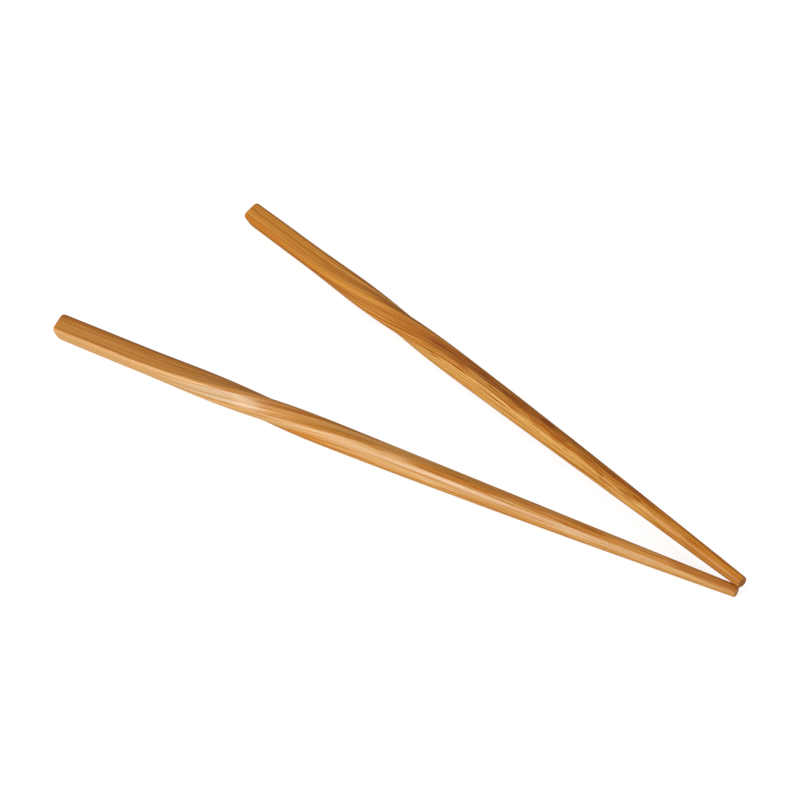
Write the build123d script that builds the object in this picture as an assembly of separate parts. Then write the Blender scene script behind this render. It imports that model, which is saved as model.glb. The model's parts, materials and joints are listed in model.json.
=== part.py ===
from build123d import *
import math
import os

# A pair of bamboo chopsticks lying in a narrow V, one tip resting on the other.
# Each stick is a single piece of bamboo: a square handle with softened edges, a stretch that was
# steamed and turned into a left-handed twist, and a shaft that tapers and becomes round at the tip.
# Millimetres. +Z is up and +X runs from the handles to the tips. The origin is at table height,
# under the middle of the pair.

# One stick, with stations counted along it from the butt end
LENGTH = 240.0
BUTT_WIDTH = 6.9            # across the flats at the butt
BELLY_WIDTH = 7.3           # across the flats at the thickest place
BELLY_STATION = 105.0
TIP_DIAMETER = 3.5
HANDLE_EDGE_RADIUS = 0.95   # long edges of the handle
BUTT_CORNER_RADIUS = 1.85   # the same edges where they run out at the butt
BUTT_CORNER_LENGTH = 2.0    # stretch in which they open out to that
ROUND_TIP_LENGTH = 33.0     # the flats have faded away this far from the tip
BUTT_ROUNDING = 0.5         # edge round the butt's end face
TIP_ROUNDING = 0.45         # edge round the tip's end face
SWELL_POWER = 1.4           # how the handle thickens towards the belly
TAPER_POWER = 1.65          # how the shaft thins towards the tip: 1 is a straight cone
FULLEST_ROUND = 0.98        # edge radius over half width where the stick is round

# The twist
TWIST_STATION = 32.0
TWIST_LENGTH = 94.0
TWIST_EASE = 31.5           # stretch over which the turning starts, and again stops
TWIST_ANGLE = 128.0

# How the pair lies
SPREAD_ANGLE = 21.5         # between the two sticks, seen from above
TIP_OVERHANG = 0.8          # the upper tip reaches past the lower one
TIP_SIDE_STEP = 0.8         # and lies this far to its side
TIP_CLEARANCE = 0.03
LOWER_ROLL = 24.5           # of the handle's flats away from the table
UPPER_ROLL = 28.0
LOWER_DIP = 0.7             # tip down, because the stick lies on its thick twist
LOWER_BOW = -1.1            # sideways bend at mid length, as grown
UPPER_BOW = 0.7

# Steps between the sections that each stretch of a stick is drawn through
END_STEPS = 3
CORNER_STEPS = 2
HANDLE_STEPS = 1
TWIST_STEPS = 24
SHAFT_STEPS = 6
POINT_STEPS = 2


def half_width(station):
    """Half the width across the flats."""
    if station < BELLY_STATION:
        share = (1 - station / BELLY_STATION) ** SWELL_POWER
        end_width = BUTT_WIDTH
    else:
        share = ((station - BELLY_STATION) / (LENGTH - BELLY_STATION)) ** TAPER_POWER
        end_width = TIP_DIAMETER
    return (BELLY_WIDTH + (end_width - BELLY_WIDTH) * share) / 2


def edge_radius(station):
    """Radius of the four long edges, which grows until the section is round, and is larger at the butt."""
    handle_round = HANDLE_EDGE_RADIUS / half_width(0)
    share = min(station / (LENGTH - ROUND_TIP_LENGTH), 1)
    opened = max(1 - station / BUTT_CORNER_LENGTH, 0) ** 2
    return (half_width(station) * (handle_round + (FULLEST_ROUND - handle_round) * share)
            + (BUTT_CORNER_RADIUS - HANDLE_EDGE_RADIUS) * opened)


def eased(run):
    """Distance covered after a start from rest that takes the length of the ease."""
    if run <= 0:
        return 0.0
    if run < TWIST_EASE:
        return run ** 2 / (2 * TWIST_EASE)
    return run - TWIST_EASE / 2


def turn(station):
    """Degrees that the section has turned since the handle."""
    steady_length = TWIST_LENGTH - TWIST_EASE
    into_twist = station - TWIST_STATION
    return TWIST_ANGLE / steady_length * (eased(into_twist) - eased(into_twist - steady_length))


def drawn_in(from_end, rounding):
    """How far a rounded end draws the section in, at a distance from that end."""
    short = max(1 - from_end / rounding, 0)
    return rounding * (1 - math.sqrt(1 - short ** 2))


def section(station, roll, bow):
    """Rounded square across the stick, rolled, turned by the twist and shifted by the bow."""
    along = station / LENGTH
    centre = (station, 4 * bow * along * (1 - along), 0)
    inset = drawn_in(station, BUTT_ROUNDING) + drawn_in(LENGTH - station, TIP_ROUNDING)
    width = 2 * (half_width(station) - inset)
    outline = RectangleRounded(width, width, edge_radius(station) - inset)
    return Plane(centre, x_dir=(0, 1, 0), z_dir=(1, 0, 0)) * Rot(Z=roll - turn(station)) * outline


def spaced(start, end, steps):
    """Values at equal steps, without the last."""
    return [start + (end - start) * step / steps for step in range(steps)]


def round_the_end(rounding):
    """Distances from an end at equal steps round its edge, without the last."""
    return [rounding * (1 - math.cos(angle)) for angle in spaced(0, math.pi / 2, END_STEPS)]


def chopstick(roll, bow):
    """One stick along +X, with the middle of its butt at the origin."""
    twist_end = TWIST_STATION + TWIST_LENGTH
    point_start = LENGTH - ROUND_TIP_LENGTH
    point_end = LENGTH - TIP_ROUNDING
    stations = round_the_end(BUTT_ROUNDING)
    stations += spaced(BUTT_ROUNDING, BUTT_CORNER_LENGTH, CORNER_STEPS)
    stations += spaced(BUTT_CORNER_LENGTH, TWIST_STATION, HANDLE_STEPS)
    stations += spaced(TWIST_STATION, twist_end, TWIST_STEPS)
    stations += spaced(twist_end, point_start, SHAFT_STEPS)
    stations += spaced(point_start, point_end, POINT_STEPS)
    stations.append(point_end)
    stations += [LENGTH - from_end for from_end in reversed(round_the_end(TIP_ROUNDING))]
    return loft([section(station, roll, bow) for station in stations], ruled=True)


def laid(stick, tip, dip, heading):
    """The stick dipped towards its tip and turned, with the middle of its tip at the given point."""
    return Pos(*tip) * Rot(Z=heading) * Rot(Y=dip) * Pos(-LENGTH, 0, 0) * stick


def reach_below(roll, station):
    """How far the section reaches below the stick's own axis."""
    angle = math.radians(roll - turn(station))
    radius = edge_radius(station)
    return (half_width(station) - radius) * (abs(math.cos(angle)) + abs(math.sin(angle))) + radius


# The lower stick lies on the table, on the ridges of its twist
lower = laid(chopstick(LOWER_ROLL, LOWER_BOW), (0, 0, 0), LOWER_DIP, SPREAD_ANGLE / 2)
lower_tip_height = -lower.bounding_box().min.Z
lower = Pos(0, 0, lower_tip_height) * lower

# The upper stick stands on the edge of its handle, and its round tip lies on the lower one's tip
half_spread = math.radians(SPREAD_ANGLE / 2)
axis_distance = half_width(LENGTH) + TIP_CLEARANCE + half_width(LENGTH - TIP_OVERHANG)
aside = TIP_SIDE_STEP * math.cos(half_spread) + TIP_OVERHANG * math.sin(half_spread)
upper_tip_height = lower_tip_height + math.sqrt(axis_distance ** 2 - aside ** 2)
upper_rise = upper_tip_height - reach_below(UPPER_ROLL, BUTT_CORNER_LENGTH)
upper_dip = -math.degrees(math.asin(upper_rise / (LENGTH - BUTT_CORNER_LENGTH)))
upper_tip = (TIP_OVERHANG, TIP_SIDE_STEP, upper_tip_height)
upper = laid(chopstick(UPPER_ROLL, UPPER_BOW), upper_tip, upper_dip, -SPREAD_ANGLE / 2)

# The origin goes under the middle of the pair
middle = Compound([lower, upper]).bounding_box().center()
to_middle = Pos(-middle.X, -middle.Y, 0)

os.makedirs("parts", exist_ok=True)
export_step(to_middle * lower, "parts/lower_chopstick.step")
export_step(to_middle * upper, "parts/upper_chopstick.step")
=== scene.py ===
import bpy
import json
import math
from functools import partial
from mathutils import Matrix, Vector


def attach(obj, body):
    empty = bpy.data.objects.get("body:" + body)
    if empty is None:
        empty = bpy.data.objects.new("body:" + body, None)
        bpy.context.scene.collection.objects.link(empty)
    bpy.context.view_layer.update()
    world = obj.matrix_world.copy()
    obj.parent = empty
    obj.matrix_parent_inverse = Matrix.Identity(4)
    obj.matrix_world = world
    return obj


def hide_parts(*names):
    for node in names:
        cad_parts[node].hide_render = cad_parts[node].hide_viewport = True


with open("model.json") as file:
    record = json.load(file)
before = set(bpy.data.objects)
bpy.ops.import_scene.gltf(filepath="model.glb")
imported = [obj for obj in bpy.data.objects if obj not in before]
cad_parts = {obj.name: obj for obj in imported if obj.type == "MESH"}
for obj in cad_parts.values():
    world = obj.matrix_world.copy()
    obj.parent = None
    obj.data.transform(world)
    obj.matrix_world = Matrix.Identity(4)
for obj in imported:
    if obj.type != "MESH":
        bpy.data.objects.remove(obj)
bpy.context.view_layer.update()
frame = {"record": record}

# Lower chopstick
# One strip of bamboo, browned by steam and heat, planed square, turned into a left-handed twist
# below the grip while it was hot, sanded to a round tip and dipped in a thin satin lacquer.

mm = 0.001


def add_node(tree, kind, inputs=None, **settings):
    """A node with its settings, and a value or another node's output in each of the given inputs."""
    node = tree.nodes.new(kind)
    for name, value in settings.items():
        setattr(node, name, value)
    for name, value in (inputs or {}).items():
        if isinstance(value, bpy.types.NodeSocket):
            tree.links.new(value, node.inputs[name])
        else:
            node.inputs[name].default_value = value
    return node


def calculate(tree, operation, *values):
    """The result of a sum on numbers and other nodes' outputs."""
    return add_node(tree, "ShaderNodeMath", dict(enumerate(values)), operation=operation).outputs[0]


def map_range(tree, value, start, end, low=0.0, high=1.0, interpolation_type="LINEAR"):
    """A value that goes from low to high as another goes from start to end, and stays there beyond."""
    inputs = {"Value": value, "From Min": start, "From Max": end, "To Min": low, "To Max": high}
    node = add_node(tree, "ShaderNodeMapRange", inputs, interpolation_type=interpolation_type)
    return node.outputs["Result"]


def twisted_stick_tree(end_face_rows=4, end_edge_rows=10, body_rows=400, columns=96):
    """Nodes that bend a grid round the stick: its rows are sections, its columns follow the fibres."""
    tree = bpy.data.node_groups.new("twisted stick", "GeometryNodeTree")
    sizes = (
        "Length", "Butt Width", "Belly Width", "Belly Station", "Tip Diameter", "Handle Edge Radius",
        "Butt Corner Radius", "Butt Corner Length", "Round Tip Length", "Butt Rounding", "Tip Rounding",
        "Swell Power", "Taper Power", "Fullest Round", "Twist Station", "Twist Length", "Twist Ease",
        "Twist Angle", "Roll", "Bow",
    )
    for name in sizes:
        tree.interface.new_socket(name, in_out="INPUT", socket_type="NodeSocketFloat")
    tree.interface.new_socket("Bamboo", in_out="INPUT", socket_type="NodeSocketMaterial")
    tree.interface.new_socket("Stick", in_out="OUTPUT", socket_type="NodeSocketGeometry")
    size = tree.nodes.new("NodeGroupInput").outputs
    calc = partial(calculate, tree)
    ramp = partial(map_range, tree)

    def vector(x, y, z):
        return add_node(tree, "ShaderNodeCombineXYZ", {"X": x, "Y": y, "Z": z}).outputs["Vector"]

    def turned(point, angle):
        inputs = {"Vector": point, "Angle": angle}
        return add_node(tree, "ShaderNodeVectorRotate", inputs, rotation_type="X_AXIS").outputs["Vector"]

    steps = 2 * (end_face_rows + end_edge_rows) + body_rows
    face_share = end_face_rows / steps
    edge_share = (end_face_rows + end_edge_rows) / steps
    grid = add_node(tree, "GeometryNodeMeshGrid", {
        "Size X": 1.0, "Size Y": 1.0, "Vertices X": steps + 1, "Vertices Y": columns + 1})
    point = tree.nodes.new("GeometryNodeInputPosition").outputs["Position"]
    place = add_node(tree, "ShaderNodeSeparateXYZ", {"Vector": point})
    down = calc("ADD", place.outputs["X"], 0.5)
    around = calc("SUBTRACT", 0.5, place.outputs["Y"])

    # Rows: out across the butt's face, round its edge, down the stick, round the tip's edge and in
    butt_face = ramp(down, 0.0, face_share)
    butt_edge = ramp(down, face_share, edge_share, 0.0, math.pi / 2)
    body = ramp(down, edge_share, 1 - edge_share)
    tip_edge = ramp(down, 1 - edge_share, 1 - face_share, 0.0, math.pi / 2)
    tip_face = ramp(down, 1 - face_share, 1.0, 1.0, 0.0)
    roundings = calc("ADD", size["Butt Rounding"], size["Tip Rounding"])
    station = calc("MULTIPLY", size["Butt Rounding"], calc("SUBTRACT", 1.0, calc("COSINE", butt_edge)))
    station = calc("ADD", station, calc("MULTIPLY", body, calc("SUBTRACT", size["Length"], roundings)))
    station = calc("ADD", station, calc("MULTIPLY", size["Tip Rounding"], calc("SINE", tip_edge)))

    # Width across the flats, which swells to the belly and then tapers
    before = calc("SUBTRACT", 1.0, calc("DIVIDE", station, size["Belly Station"]))
    swell = calc("POWER", calc("MAXIMUM", before, 0.0), size["Swell Power"])
    behind_belly = calc("SUBTRACT", size["Length"], size["Belly Station"])
    behind = calc("DIVIDE", calc("SUBTRACT", station, size["Belly Station"]), behind_belly)
    taper = calc("POWER", calc("MAXIMUM", behind, 0.0), size["Taper Power"])
    less_butt = calc("MULTIPLY", swell, calc("SUBTRACT", size["Belly Width"], size["Butt Width"]))
    less_tip = calc("MULTIPLY", taper, calc("SUBTRACT", size["Belly Width"], size["Tip Diameter"]))
    width = calc("SUBTRACT", size["Belly Width"], calc("ADD", less_butt, less_tip))
    half = calc("MULTIPLY", width, 0.5)

    # Long edges, whose radius grows until the section is round, and is larger at the butt
    handle_round = calc("DIVIDE", calc("MULTIPLY", size["Handle Edge Radius"], 2.0), size["Butt Width"])
    round_station = calc("SUBTRACT", size["Length"], size["Round Tip Length"])
    edge_round = ramp(station, 0.0, round_station, handle_round, size["Fullest Round"])
    opened = calc("POWER", ramp(station, 0.0, size["Butt Corner Length"], 1.0, 0.0), 2.0)
    opening = calc("SUBTRACT", size["Butt Corner Radius"], size["Handle Edge Radius"])
    radius = calc("ADD", calc("MULTIPLY", half, edge_round), calc("MULTIPLY", opening, opened))
    flat = calc("SUBTRACT", half, radius)

    # Outline of one quarter of the section: half a flat, the edge's arc, half the next flat
    quarter = calc("FLOOR", calc("MULTIPLY", around, 4.0))
    along_quarter = calc("SUBTRACT", calc("MULTIPLY", around, 4.0), quarter)
    arc_share = calc("SQRT", edge_round)
    arc_start = calc("MULTIPLY", calc("SUBTRACT", 1.0, arc_share), 0.5)
    arc_end = calc("ADD", arc_start, arc_share)
    first_flat = ramp(along_quarter, 0.0, arc_start)
    arc = ramp(along_quarter, arc_start, arc_end, 0.0, math.pi / 2)
    last_flat = ramp(along_quarter, arc_end, 1.0, 1.0, 0.0)

    # The rounded ends draw the section in
    butt_inset = calc("MULTIPLY", size["Butt Rounding"], calc("SUBTRACT", 1.0, calc("SINE", butt_edge)))
    tip_inset = calc("MULTIPLY", size["Tip Rounding"], calc("SUBTRACT", 1.0, calc("COSINE", tip_edge)))
    radius = calc("SUBTRACT", radius, calc("ADD", butt_inset, tip_inset))
    fullness = calc("MULTIPLY", butt_face, tip_face)
    out = calc("ADD", calc("MULTIPLY", flat, last_flat), calc("MULTIPLY", radius, calc("COSINE", arc)))
    over = calc("ADD", calc("MULTIPLY", flat, first_flat), calc("MULTIPLY", radius, calc("SINE", arc)))

    corner = vector(0.0, calc("MULTIPLY", out, fullness), calc("MULTIPLY", over, fullness))
    section = turned(corner, calc("MULTIPLY", quarter, math.pi / 2))

    # The twist starts from rest, turns steadily and comes to rest again
    steady = calc("SUBTRACT", size["Twist Length"], size["Twist Ease"])

    def eased(run):
        start = calc("MAXIMUM", calc("MINIMUM", run, size["Twist Ease"]), 0.0)
        start = calc("DIVIDE", calc("MULTIPLY", start, start), calc("MULTIPLY", size["Twist Ease"], 2.0))
        return calc("ADD", start, calc("MAXIMUM", calc("SUBTRACT", run, size["Twist Ease"]), 0.0))

    into_twist = calc("SUBTRACT", station, size["Twist Station"])
    covered = calc("SUBTRACT", eased(into_twist), eased(calc("SUBTRACT", into_twist, steady)))
    turn = calc("MULTIPLY", calc("DIVIDE", covered, steady), size["Twist Angle"])
    share = calc("DIVIDE", station, size["Length"])
    bend = calc("MULTIPLY", calc("MULTIPLY", share, calc("SUBTRACT", 1.0, share)), 4.0)
    axis = vector(station, calc("MULTIPLY", bend, size["Bow"]), 0.0)
    twisted = turned(section, calc("SUBTRACT", size["Roll"], turn))
    surface = add_node(tree, "ShaderNodeVectorMath", {0: axis, 1: twisted}, operation="ADD").outputs[0]

    # The place in the straight strip, before it was turned, stays with each point for the fibres
    untwisted = {0: vector(station, 0.0, 0.0), 1: section}
    strip = add_node(tree, "ShaderNodeVectorMath", untwisted, operation="ADD")
    grained = add_node(tree, "GeometryNodeStoreNamedAttribute", {
        "Geometry": grid.outputs["Mesh"], "Name": "strip", "Value": strip.outputs[0]},
        data_type="FLOAT_VECTOR", domain="POINT")
    shaped = add_node(tree, "GeometryNodeSetPosition", {"Geometry": grained.outputs[0], "Position": surface})
    seam = 0.001 * mm
    closed = add_node(tree, "GeometryNodeMergeByDistance", {"Geometry": shaped.outputs[0], "Distance": seam})
    smooth = add_node(tree, "GeometryNodeSetShadeSmooth", {"Geometry": closed.outputs[0]})
    real = add_node(tree, "GeometryNodeRealizeInstances", {"Geometry": smooth.outputs[0]})
    coloured = add_node(tree, "GeometryNodeSetMaterial", {
        "Geometry": real.outputs[0], "Material": size["Bamboo"]})
    add_node(tree, "NodeGroupOutput", {"Stick": coloured.outputs[0]})
    return tree


stick_tree = twisted_stick_tree()
stick_sizes = {
    "Length": 240.0 * mm,
    "Butt Width": 6.9 * mm,
    "Belly Width": 7.3 * mm,
    "Belly Station": 105.0 * mm,
    "Tip Diameter": 3.5 * mm,
    "Handle Edge Radius": 0.95 * mm,
    "Butt Corner Radius": 1.85 * mm,
    "Butt Corner Length": 2.0 * mm,
    "Round Tip Length": 33.0 * mm,
    "Butt Rounding": 0.5 * mm,
    "Tip Rounding": 0.45 * mm,
    "Swell Power": 1.4,
    "Taper Power": 1.65,
    "Fullest Round": 0.98,
    "Twist Station": 32.0 * mm,
    "Twist Length": 94.0 * mm,
    "Twist Ease": 31.5 * mm,
    "Twist Angle": math.radians(128.0),
}


def lie_of(butt_mount):
    """Where a stick lies: from the middle of its butt's face, straight away from that face."""
    mount = next(m for m in frame["record"]["mounts"] if m["name"] == butt_mount)
    ahead = -Vector(mount["axis"]).normalized()
    left = Vector((0, 0, 1)).cross(ahead).normalized()
    up = ahead.cross(left)
    lie = Matrix((ahead, left, up)).transposed().to_4x4()
    lie.translation = mount["pos_m"]
    return lie


def chopstick(name, butt_mount, roll, bow, bamboo):
    """A stick of the pair as a plain mesh, lying where its node lies."""
    blank = bpy.data.objects.new(name + "_blank", bpy.data.meshes.new(name + "_blank"))
    bpy.context.scene.collection.objects.link(blank)
    shaping = blank.modifiers.new("twisted stick", "NODES")
    shaping.node_group = stick_tree
    values = {**stick_sizes, "Roll": roll, "Bow": bow, "Bamboo": bamboo}
    for item in stick_tree.interface.items_tree:
        if item.in_out == "INPUT":
            shaping[item.identifier] = values[item.name]
    shaped = blank.evaluated_get(bpy.context.evaluated_depsgraph_get())
    mesh = bpy.data.meshes.new_from_object(shaped)
    mesh.transform(lie_of(butt_mount))
    bpy.data.objects.remove(blank)
    stick = bpy.data.objects.new(name, mesh)
    bpy.context.scene.collection.objects.link(stick)
    return stick


def new_group(name, inputs, outputs):
    """An empty group of shader nodes with its named inputs and outputs."""
    tree = bpy.data.node_groups.new(name, "ShaderNodeTree")
    for direction, sockets in (("INPUT", inputs), ("OUTPUT", outputs)):
        for socket, kind in sockets.items():
            tree.interface.new_socket(socket, in_out=direction, socket_type="NodeSocket" + kind)
    return tree


def bamboo_grain_group():
    """Draws the fibres of bamboo over a colour. They run along the strip as it was before the twist."""
    tree = new_group("bamboo grain", {
        "Strip": "Vector", "Color": "Color", "Fibre Tint": "Color", "Pith Tint": "Color",
        "End Grain": "Color", "Bands": "Float", "Handle Lines": "Float", "Shaft Lines": "Float",
        "Seed": "Float", "Length": "Float", "Fleck Start": "Float", "Fleck End": "Float",
        "Fleck Angle": "Float", "Fleck Spread": "Float", "Fleck Share": "Float", "Fleck Tint": "Color"},
        {"Color": "Color", "Roughness": "Float", "Height": "Float"})
    wood = tree.nodes.new("NodeGroupInput").outputs
    calc = partial(calculate, tree)
    ramp = partial(map_range, tree)

    def noise(along, across, detail):
        """Noise drawn out along the fibres, with the size of its grains in metres."""
        stretch = (1 / along, 1 / across, 1 / across)
        place = add_node(tree, "ShaderNodeVectorMath", {0: wood["Strip"], 1: stretch}, operation="MULTIPLY")
        grains = {"Vector": place.outputs[0], "W": wood["Seed"], "Scale": 1.0, "Detail": detail}
        return add_node(tree, "ShaderNodeTexNoise", grains, noise_dimensions="4D").outputs[0]

    def mix(factor, first, second, blend_type="MIX"):
        return add_node(tree, "ShaderNodeMix", {0: factor, 6: first, 7: second},
                        data_type="RGBA", blend_type=blend_type).outputs[2]

    # Broad bands, and fine lines that are deeper on the shaft than on the handle and fade at the tip
    band_length, band_width, band_spread = 70 * mm, 0.75 * mm, (0.3, 0.7)
    line_length, line_width, line_spread = 50 * mm, 0.42 * mm, (0.36, 0.64)
    handle_end, shaft_start = 40 * mm, 75 * mm
    fade_start, fade_end, tip_share = 180 * mm, 225 * mm, 0.4
    place = add_node(tree, "ShaderNodeSeparateXYZ", {"Vector": wood["Strip"]}).outputs
    bands = ramp(noise(band_length, band_width, 1.0), *band_spread, -1.0, 1.0)
    bands = calc("MULTIPLY", bands, wood["Bands"])
    line_depth = ramp(place["X"], handle_end, shaft_start, wood["Handle Lines"], wood["Shaft Lines"])
    line_depth = calc("MULTIPLY", line_depth, ramp(place["X"], fade_start, fade_end, 1.0, tip_share))
    lines = ramp(noise(line_length, line_width, 2.0), *line_spread, -1.0, 1.0)
    lines = calc("MULTIPLY", lines, line_depth)

    # Dark fibre bundles show as flecks where the planed face cuts through them
    fleck_length, fleck_width = 10 * mm, 0.4 * mm
    level_outside, level_inside, fleck_edge = 0.76, 0.54, 0.06
    zone_core, zone_fade = 0.3, 15 * mm
    angle = calc("ARCTAN2", place["Z"], place["Y"])
    aside = calc("SUBTRACT", angle, wood["Fleck Angle"])
    aside = calc("ABSOLUTE", calc("WRAP", aside, math.pi, -math.pi))
    zone = ramp(calc("DIVIDE", aside, wood["Fleck Spread"]), zone_core, 1.0, 1.0, 0.0, "SMOOTHSTEP")
    starting = ramp(calc("SUBTRACT", place["X"], wood["Fleck Start"]), 0.0, zone_fade)
    ending = ramp(calc("SUBTRACT", wood["Fleck End"], place["X"]), 0.0, zone_fade)
    zone = calc("MULTIPLY", calc("MULTIPLY", zone, wood["Fleck Share"]), calc("MULTIPLY", starting, ending))
    level = ramp(zone, 0.0, 1.0, level_outside, level_inside)
    above = calc("SUBTRACT", noise(fleck_length, fleck_width, 0.0), level)
    flecks = ramp(above, 0.0, fleck_edge, 0.0, 1.0, "SMOOTHSTEP")

    # The cut ends show the fibres end on, as dots
    cut = 0.3 * mm
    from_end = calc("MINIMUM", place["X"], calc("SUBTRACT", wood["Length"], place["X"]))
    colour = mix(ramp(from_end, 0.0, cut, 1.0, 0.0), wood["Color"], wood["End Grain"])

    depth = calc("ADD", bands, lines)
    colour = mix(ramp(depth, 0.0, 1.0), colour, wood["Fibre Tint"], "MULTIPLY")
    colour = mix(ramp(depth, 0.0, -1.0), colour, wood["Pith Tint"], "MULTIPLY")
    colour = mix(flecks, colour, wood["Fleck Tint"], "MULTIPLY")

    # The plane leaves faint hollows, and the dark fibres take less of a polish
    hollow_length, hollow_width, hollow_depth = 14 * mm, 1.8 * mm, 0.04 * mm
    pith_roughness, fibre_roughness, deep_line = 0.42, 0.5, 0.4
    height = ramp(noise(hollow_length, hollow_width, 0.0), 0.0, 1.0, 0.0, hollow_depth)
    roughness = ramp(lines, -deep_line, deep_line, pith_roughness, fibre_roughness)
    add_node(tree, "NodeGroupOutput", {"Color": colour, "Roughness": roughness, "Height": height})
    return tree


def fibre_and_painted_light_streak_group():
    """Lays one streak of another colour over a colour, along the strip. Most are fibres; a few are painted
    highlight, sheen and shade.
    """
    tree = new_group("fibre and painted light streak", {
        "Strip": "Vector", "Color": "Color", "Streak": "Color", "Share": "Float", "Start": "Float",
        "End": "Float", "Angle": "Float", "Width": "Float", "Taper": "Float"}, {"Color": "Color"})
    streak = tree.nodes.new("NodeGroupInput").outputs
    calc = partial(calculate, tree)
    ramp = partial(map_range, tree)
    fibre_length, fibre_width, fibre_spread = 11 * mm, 0.45 * mm, (0.3, 0.7)
    raggedness, soft_side = 0.25 * mm, 0.3 * mm
    place = add_node(tree, "ShaderNodeSeparateXYZ", {"Vector": streak["Strip"]}).outputs

    # How far a point lies to the side of the streak's middle, measured round the strip
    reach = calc("SQRT", calc("ADD", calc("POWER", place["Y"], 2.0), calc("POWER", place["Z"], 2.0)))
    aside = calc("SUBTRACT", calc("ARCTAN2", place["Z"], place["Y"]), streak["Angle"])
    aside = calc("ABSOLUTE", calc("MULTIPLY", calc("WRAP", aside, math.pi, -math.pi), reach))

    # Its sides and its ends are ragged, as fibres of different lengths
    stretch = (1 / fibre_length, 1 / fibre_width, 1 / fibre_width)
    drawn_out = add_node(tree, "ShaderNodeVectorMath", {0: streak["Strip"], 1: stretch}, operation="MULTIPLY")
    fibres = add_node(tree, "ShaderNodeTexNoise", {
        "Vector": drawn_out.outputs[0], "Scale": 1.0, "Detail": 1.0})
    ragged = ramp(fibres.outputs[0], *fibre_spread, -1.0, 1.0)
    edge = calc("ADD", aside, calc("MULTIPLY", ragged, raggedness))
    beyond = calc("SUBTRACT", edge, calc("MULTIPLY", streak["Width"], 0.5))
    inside = ramp(beyond, -soft_side, soft_side, 1.0, 0.0, "SMOOTHSTEP")
    shift = calc("MULTIPLY", ragged, calc("MULTIPLY", streak["Taper"], 0.5))
    station = calc("ADD", place["X"], shift)
    starting = ramp(calc("DIVIDE", calc("SUBTRACT", station, streak["Start"]), streak["Taper"]), -0.5, 0.5)
    ending = ramp(calc("DIVIDE", calc("SUBTRACT", streak["End"], station), streak["Taper"]), -0.5, 0.5)
    mask = calc("MULTIPLY", calc("MULTIPLY", inside, streak["Share"]), calc("MULTIPLY", starting, ending))
    colours = {0: mask, 6: streak["Color"], 7: streak["Streak"]}
    blend = add_node(tree, "ShaderNodeMix", colours, data_type="RGBA")
    add_node(tree, "NodeGroupOutput", {"Color": blend.outputs[2]})
    return tree


grain_group = bamboo_grain_group()
streak_group = fibre_and_painted_light_streak_group()

# The wood itself is matt, and the coat gives the shine under the lamps. A few streaks also paint a sheen,
# highlights and a shade into the wood's colour
lacquer = {
    "Specular IOR Level": 0.0,
    "Coat Weight": 0.055,
    "Coat IOR": 3.5,
    "Coat Roughness": 0.28,
}


def bamboo_material(name, wood, streaks, grain):
    """Bamboo of the wood's colour, with its streaks, its fibres and a thin lacquer."""
    material = bpy.data.materials.new(name)
    material.use_nodes = True
    tree = material.node_tree
    shader = tree.nodes["Principled BSDF"]
    for socket, value in lacquer.items():
        shader.inputs[socket].default_value = value
    strip = add_node(tree, "ShaderNodeAttribute", attribute_name="strip").outputs["Vector"]
    colour = (*wood, 1)
    for place, (streak, share, start, end, angle, width, taper) in streaks.items():
        colour = add_node(tree, "ShaderNodeGroup", {
            "Strip": strip, "Color": colour, "Streak": (*streak, 1), "Share": share, "Start": start * mm,
            "End": end * mm, "Angle": math.radians(angle), "Width": width * mm, "Taper": taper * mm},
            node_tree=streak_group, label=place).outputs["Color"]
    grain = {**grain, "Strip": strip, "Color": colour, "Length": stick_sizes["Length"]}
    fibres = add_node(tree, "ShaderNodeGroup", grain, node_tree=grain_group)
    tree.links.new(fibres.outputs["Color"], shader.inputs["Base Color"])
    tree.links.new(fibres.outputs["Roughness"], shader.inputs["Roughness"])
    metre = 1.0
    relief = add_node(tree, "ShaderNodeBump", {"Height": fibres.outputs["Height"], "Distance": metre})
    tree.links.new(relief.outputs[0], shader.inputs["Normal"])
    return material


lower_wood = (0.74, 0.40, 0.14)
# Streaks: colour, share of it, start and end in mm from the butt, angle round the strip in degrees,
# width and taper in mm. One that runs off an end of the stick starts or ends past it.
lower_streaks = {
    "brown top of the handle": ((0.49, 0.19, 0.027), 0.95, -20, 100, 85, 6.7, 10),
    "dark far edge of the handle": ((0.38, 0.125, 0.012), 0.90, -20, 70, 48, 2.4, 10),
    "dark line along the handle": ((0.42, 0.15, 0.018), 0.80, -20, 60, 78, 1.0, 20),
    "tan where the top turns away": ((0.62, 0.245, 0.050), 0.85, 62, 110, 92, 4.0, 14),
    "pale near side of the handle": ((0.77, 0.42, 0.145), 0.90, -20, 62, 172, 4.0, 16),
    # Painted sheen: this pale cream stands in for the shine on the near side as it turns up in the twist
    "painted sheen where the near side turns up": ((0.70, 0.46, 0.24), 0.85, 52, 82, 174, 4.2, 18),
    "tan top of the shaft": ((0.67, 0.28, 0.052), 0.95, 86, 260, 178, 5.0, 14),
    "brown on the first ridge": ((0.55, 0.205, 0.032), 0.90, 62, 104, 136, 1.5, 10),
    "dark line below the first ridge": ((0.50, 0.18, 0.028), 0.85, 77, 122, 156, 1.2, 10),
    "brown line above the second ridge": ((0.60, 0.27, 0.06), 0.85, 76, 98, 213, 0.6, 8),
    "orange on the second ridge": ((0.54, 0.19, 0.012), 0.90, 97, 126, 212, 1.2, 10),
    "orange along the shaft": ((0.54, 0.18, 0.012), 0.90, 134, 166, 216, 1.8, 6),
    "orange further along": ((0.54, 0.18, 0.014), 0.85, 184, 200, 214, 1.8, 6),
    "brown at the tip": ((0.49, 0.16, 0.02), 0.85, 222, 250, 214, 2.4, 10),
    "orange where the near side starts": ((0.74, 0.30, 0.03), 0.85, 84, 108, 272, 2.9, 12),
    # Painted highlight: a pale line that stands in for the shine along the rounded second ridge
    "painted highlight below the second ridge": ((0.76, 0.46, 0.24), 0.70, 104, 215, 251, 0.9, 12),
    "tan lower edge of the shaft": ((0.67, 0.28, 0.045), 0.80, 60, 260, 298, 1.5, 12),
}
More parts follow.
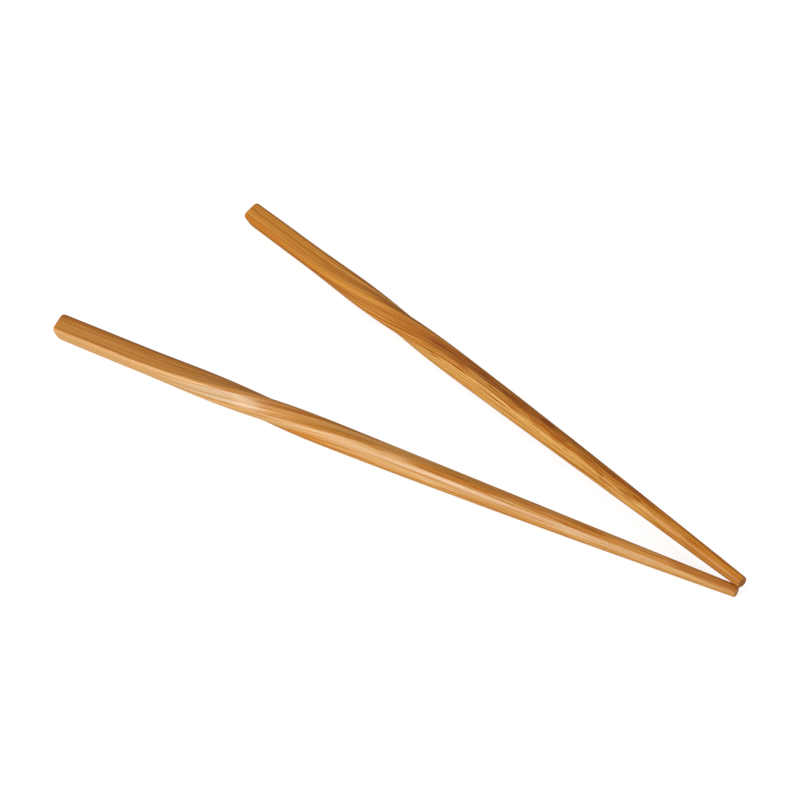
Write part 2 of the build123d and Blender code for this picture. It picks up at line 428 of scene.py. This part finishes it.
lower_grain = {
    "Fibre Tint": (0.82, 0.66, 0.38, 1),
    "Pith Tint": (1.12, 1.28, 1.75, 1),
    "End Grain": (0.92, 0.43, 0.16, 1),
    "Bands": 0.4,
    "Handle Lines": 0.6,
    "Shaft Lines": 1.05,
    "Seed": 3.0,
    "Fleck Start": 125 * mm,
    "Fleck End": 225 * mm,
    "Fleck Angle": math.radians(200),
    "Fleck Spread": math.radians(60),
    "Fleck Share": 0.55,
    "Fleck Tint": (0.80, 0.62, 0.25, 1),
}
lower_bamboo = bamboo_material("lower bamboo", lower_wood, lower_streaks, lower_grain)
lower_roll = math.radians(24.5)
lower_bow = -1.1 * mm
lower = chopstick("lower_bamboo_stick", "lower_butt_face", lower_roll, lower_bow, lower_bamboo)
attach(lower, "root")
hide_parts("lower_chopstick")

# Upper chopstick
# The same article, shaped, twisted and lacquered in the same way, from a darker and more orange strip
# of bamboo with dark flecks. It is fixed to nothing: its tip only lies on the lower stick's tip.

upper_wood = (0.57, 0.22, 0.025)
# Streaks, each with the same values as the lower stick's
upper_streaks = {
    "dark line along the handle": ((0.43, 0.135, 0.007), 0.90, -20, 75, 84, 1.0, 10),
    "brown far edge of the handle": ((0.45, 0.14, 0.007), 0.40, -20, 75, 48, 0.5, 10),
    "golden line beside the dark one": ((0.66, 0.28, 0.040), 0.90, -20, 95, 97, 0.6, 10),
    "orange near side of the handle": ((0.60, 0.205, 0.010), 0.85, -20, 55, 162, 4.2, 16),
    "brown ridge at the butt": ((0.56, 0.165, 0.006), 0.85, -20, 24, 131, 1.0, 16),
    "tan where the top turns away": ((0.76, 0.31, 0.050), 0.85, 54, 104, 92, 2.9, 14),
    "golden line above the first ridge": ((0.72, 0.31, 0.045), 0.90, -20, 75, 117, 0.5, 10),
    "golden line on the first ridge": ((0.70, 0.285, 0.032), 0.85, 44, 86, 139, 0.6, 8),
    "dark above the first ridge": ((0.43, 0.12, 0.006), 0.85, 77, 115, 120, 2.2, 10),
    "dark line below the first ridge": ((0.44, 0.125, 0.006), 0.85, 76, 122, 152, 0.8, 10),
    "brown far edge of the shaft": ((0.56, 0.19, 0.018), 0.80, 96, 165, 165, 2.4, 16),
    "golden line in the twist": ((0.64, 0.25, 0.025), 0.85, 84, 105, 167, 0.5, 8),
    "dark top of the shaft": ((0.44, 0.115, 0.005), 0.90, 86, 155, 186, 1.6, 16),
    "brown towards the tip": ((0.54, 0.165, 0.006), 0.85, 150, 260, 202, 3.6, 16),
    "orange far side of the tip": ((0.70, 0.24, 0.016), 0.85, 196, 260, 174, 2.4, 20),
    "pale near side of the shaft": ((0.70, 0.345, 0.065), 0.90, 88, 212, 268, 4.7, 14),
    # Painted highlight: a pale line that stands in for the soft shine along the tip
    "painted highlight along the tip": ((0.72, 0.36, 0.10), 0.80, 190, 260, 243, 0.7, 14),
    # Painted shade: the lower side of the tip is darkened where it lies on the lower stick's tip
    "painted shade under the tip": ((0.50, 0.18, 0.02), 0.85, 214, 260, 282, 2.6, 14),
}
upper_grain = {
    "Fibre Tint": (0.70, 0.50, 0.22, 1),
    "Pith Tint": (1.14, 1.36, 2.30, 1),
    "End Grain": (0.74, 0.28, 0.06, 1),
    "Bands": 0.4,
    "Handle Lines": 0.75,
    "Shaft Lines": 1.35,
    "Seed": 8.0,
    "Fleck Start": 90 * mm,
    "Fleck End": 215 * mm,
    "Fleck Angle": math.radians(206),
    "Fleck Spread": math.radians(75),
    "Fleck Share": 1.0,
    "Fleck Tint": (0.68, 0.46, 0.15, 1),
}
upper_bamboo = bamboo_material("upper bamboo", upper_wood, upper_streaks, upper_grain)
upper_roll = math.radians(28.0)
upper_bow = 0.7 * mm
upper = chopstick("upper_bamboo_stick", "upper_butt_face", upper_roll, upper_bow, upper_bamboo)
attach(upper, "root")
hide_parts("upper_chopstick")

# Table, light and camera
# A plain white table, which shows a faint shadow, a large soft light low in front of it, and a dim
# even light from all round that is brighter overhead.

floor_half = 3.0
corners = [(x * floor_half, y * floor_half, 0) for x, y in ((-1, -1), (1, -1), (1, 1), (-1, 1))]
floor_mesh = bpy.data.meshes.new("table")
floor_mesh.from_pydata(corners, [], [(0, 1, 2, 3)])
floor = bpy.data.objects.new("table", floor_mesh)
bpy.context.scene.collection.objects.link(floor)


def sees_white(tree):
    """1 for a ray from the camera, or one that comes by way of gloss or glass: it meets plain white."""
    rays = add_node(tree, "ShaderNodeLightPath").outputs
    direct_or_gloss = calculate(tree, "MAXIMUM", rays["Is Camera Ray"], rays["Is Glossy Ray"])
    return calculate(tree, "MAXIMUM", direct_or_gloss, rays["Is Transmission Ray"])


white = bpy.data.materials.new("white table")
white.use_nodes = True
tree = white.node_tree
tree.nodes.clear()
# The sticks get the light of a grey table, and the eye sees a white one that still takes their shadow
table_grey = 0.6
shadow_grey, white_share = 0.45, 0.8
matt = add_node(tree, "ShaderNodeBsdfDiffuse", {"Color": (table_grey, table_grey, table_grey, 1)})
shadowed = add_node(tree, "ShaderNodeBsdfDiffuse", {"Color": (shadow_grey, shadow_grey, shadow_grey, 1)})
glow = add_node(tree, "ShaderNodeEmission", {"Color": (1, 1, 1, 1), "Strength": white_share})
shown = add_node(tree, "ShaderNodeAddShader", {0: shadowed.outputs[0], 1: glow.outputs[0]})
mixed = add_node(tree, "ShaderNodeMixShader", {0: sees_white(tree), 1: matt.outputs[0], 2: shown.outputs[0]})
add_node(tree, "ShaderNodeOutputMaterial", {"Surface": mixed.outputs[0]})
floor_mesh.materials.append(white)

world = bpy.data.worlds.new("even light")
world.use_nodes = True
bpy.context.scene.world = world
tree = world.node_tree
tree.nodes.clear()
direction = add_node(tree, "ShaderNodeTexCoord").outputs["Generated"]
height = add_node(tree, "ShaderNodeSeparateXYZ", {"Vector": direction}).outputs["Z"]
dim_below, bright_above = 0.2, 0.7
dim_light, bright_light = 0.06, 0.6
sky = map_range(tree, height, dim_below, bright_above, dim_light, bright_light, "SMOOTHSTEP")
strength = calculate(tree, "MAXIMUM", sees_white(tree), sky)
background = add_node(tree, "ShaderNodeBackground", {"Color": (1, 1, 1, 1), "Strength": strength})
add_node(tree, "ShaderNodeOutputWorld", {"Surface": background.outputs[0]})


def aim(thing, azimuth, elevation, distance, target):
    """Puts a light or the camera at a bearing from a target, facing it. Azimuth 0 is on the -Y side."""
    azimuth, elevation = math.radians(azimuth), math.radians(elevation)
    level = math.cos(elevation)
    back = Vector((math.sin(azimuth) * level, -math.cos(azimuth) * level, math.sin(elevation)))
    thing.location = Vector(target) + back * distance
    thing.rotation_euler = back.to_track_quat("Z", "Y").to_euler()


view_target = (-0.012408, 0.003978, 0.0)
view_azimuth, view_elevation, view_distance = 40.897, 39.339, 0.62
camera_data = bpy.data.cameras.new("camera")
camera_data.lens = 87.43
camera_data.clip_start = 0.01
camera = bpy.data.objects.new("camera", camera_data)
bpy.context.scene.collection.objects.link(camera)
aim(camera, view_azimuth, view_elevation, view_distance, view_target)
bpy.context.scene.camera = camera

key_side = 0.60
key_radiance = 9.15
key_azimuth, key_elevation, key_distance = -15.0, 18.0, 1.2
key_data = bpy.data.lights.new("front soft light", "AREA")
key_data.shape = "RECTANGLE"
key_data.size = key_side
key_data.size_y = key_side
key_data.energy = key_radiance * math.pi * key_data.size * key_data.size_y
key = bpy.data.objects.new("front soft light", key_data)
bpy.context.scene.collection.objects.link(key)
aim(key, key_azimuth, key_elevation, key_distance, view_target)

bpy.context.scene.view_settings.view_transform = "Standard"
